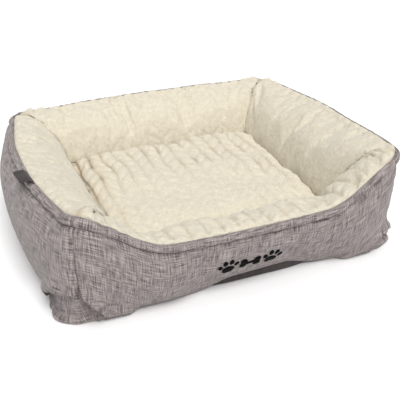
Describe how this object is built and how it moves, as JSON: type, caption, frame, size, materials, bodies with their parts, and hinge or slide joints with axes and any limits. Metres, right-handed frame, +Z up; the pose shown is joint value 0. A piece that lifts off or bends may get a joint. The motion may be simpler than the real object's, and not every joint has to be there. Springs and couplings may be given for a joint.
{
  "type": "pet cushion bed",
  "caption": "Rectangular pet bed with padded bolster walls, a lowered entry side, plush lining and a loose cushion that lifts out.",
  "frame": {"origin": "middle of the bed on the surface it rests on", "axes": "+Z up; +X along the long side, the low entry side faces -Y"},
  "size_m": [0.7506, 0.6606, 0.2348],
  "materials": {
    "grey_linen": "slub linen-look weave, light and dark threads both ways",
    "cream_plush": "short-pile plush embossed with rope-like rows",
    "fibre_filling": "loose polyester fibre",
    "brown_base_cloth": "dark brown non-slip base cloth",
    "floor_lining_cloth": "plain woven lining",
    "zip_tape": "twill zip tape",
    "zip_coil": "moulded nylon coil",
    "zip_metal": "satin zip metal",
    "woven_label": "dark brown woven tab, blank",
    "black_thread": "black satin-stitch embroidery"
  },
  "bodies": {
    "shell": {"outer_panel_front": "grey_linen", "outer_panel_right": "grey_linen", "outer_panel_back": "grey_linen", "outer_panel_left": "grey_linen", "rim_band_front": "grey_linen", "rim_band_right": "grey_linen", "rim_band_back": "grey_linen", "rim_band_left": "grey_linen", "plush_liner_front": "cream_plush", "plush_liner_right": "cream_plush", "plush_liner_back": "cream_plush", "plush_liner_left": "cream_plush", "bolster_fill_front": "fibre_filling", "bolster_fill_right": "fibre_filling", "bolster_fill_back": "fibre_filling", "bolster_fill_left": "fibre_filling", "corner_foot_front_left": "grey_linen", "corner_foot_front_right": "grey_linen", "corner_foot_back_left": "grey_linen", "corner_foot_back_right": "grey_linen", "base_panel": "brown_base_cloth", "base_wadding": "fibre_filling", "floor_lining": "floor_lining_cloth", "motif": "black_thread"},
    "cushion": {"cushion_top_cover": "cream_plush", "cushion_bottom_cover": "floor_lining_cloth", "cushion_fill": "fibre_filling", "cushion_zip_tape": "zip_tape", "cushion_zip_coil": "zip_coil"},
    "zip_slider": {"zip_slider": "zip_metal"},
    "zip_puller": {"zip_puller": "zip_metal"},
    "label_tab": {"label_tab": "woven_label"}
  },
  "joints": [
    {"name": "cushion_lift", "type": "slide", "parent": "shell", "child": "cushion", "axis": [0, 0, 1], "range_m": [0, 0.3]},
    {"name": "zip_slide", "type": "slide", "parent": "cushion", "child": "zip_slider", "axis": [-1, 0, 0], "range_m": [0, 0.278]},
    {"name": "puller_swing", "type": "hinge", "parent": "zip_slider", "child": "zip_puller", "pos_m": [0.139, 0.1693, 0.0524], "axis": [0, 0, -1], "range_deg": [0, 35]},
    {"name": "tab_flap", "type": "hinge", "parent": "shell", "child": "label_tab", "pos_m": [-0.35001, -0.09905, 0.21702], "axis": [-0.0729, 0.9952, -0.0658], "range_deg": [0, 70]}
  ]
}
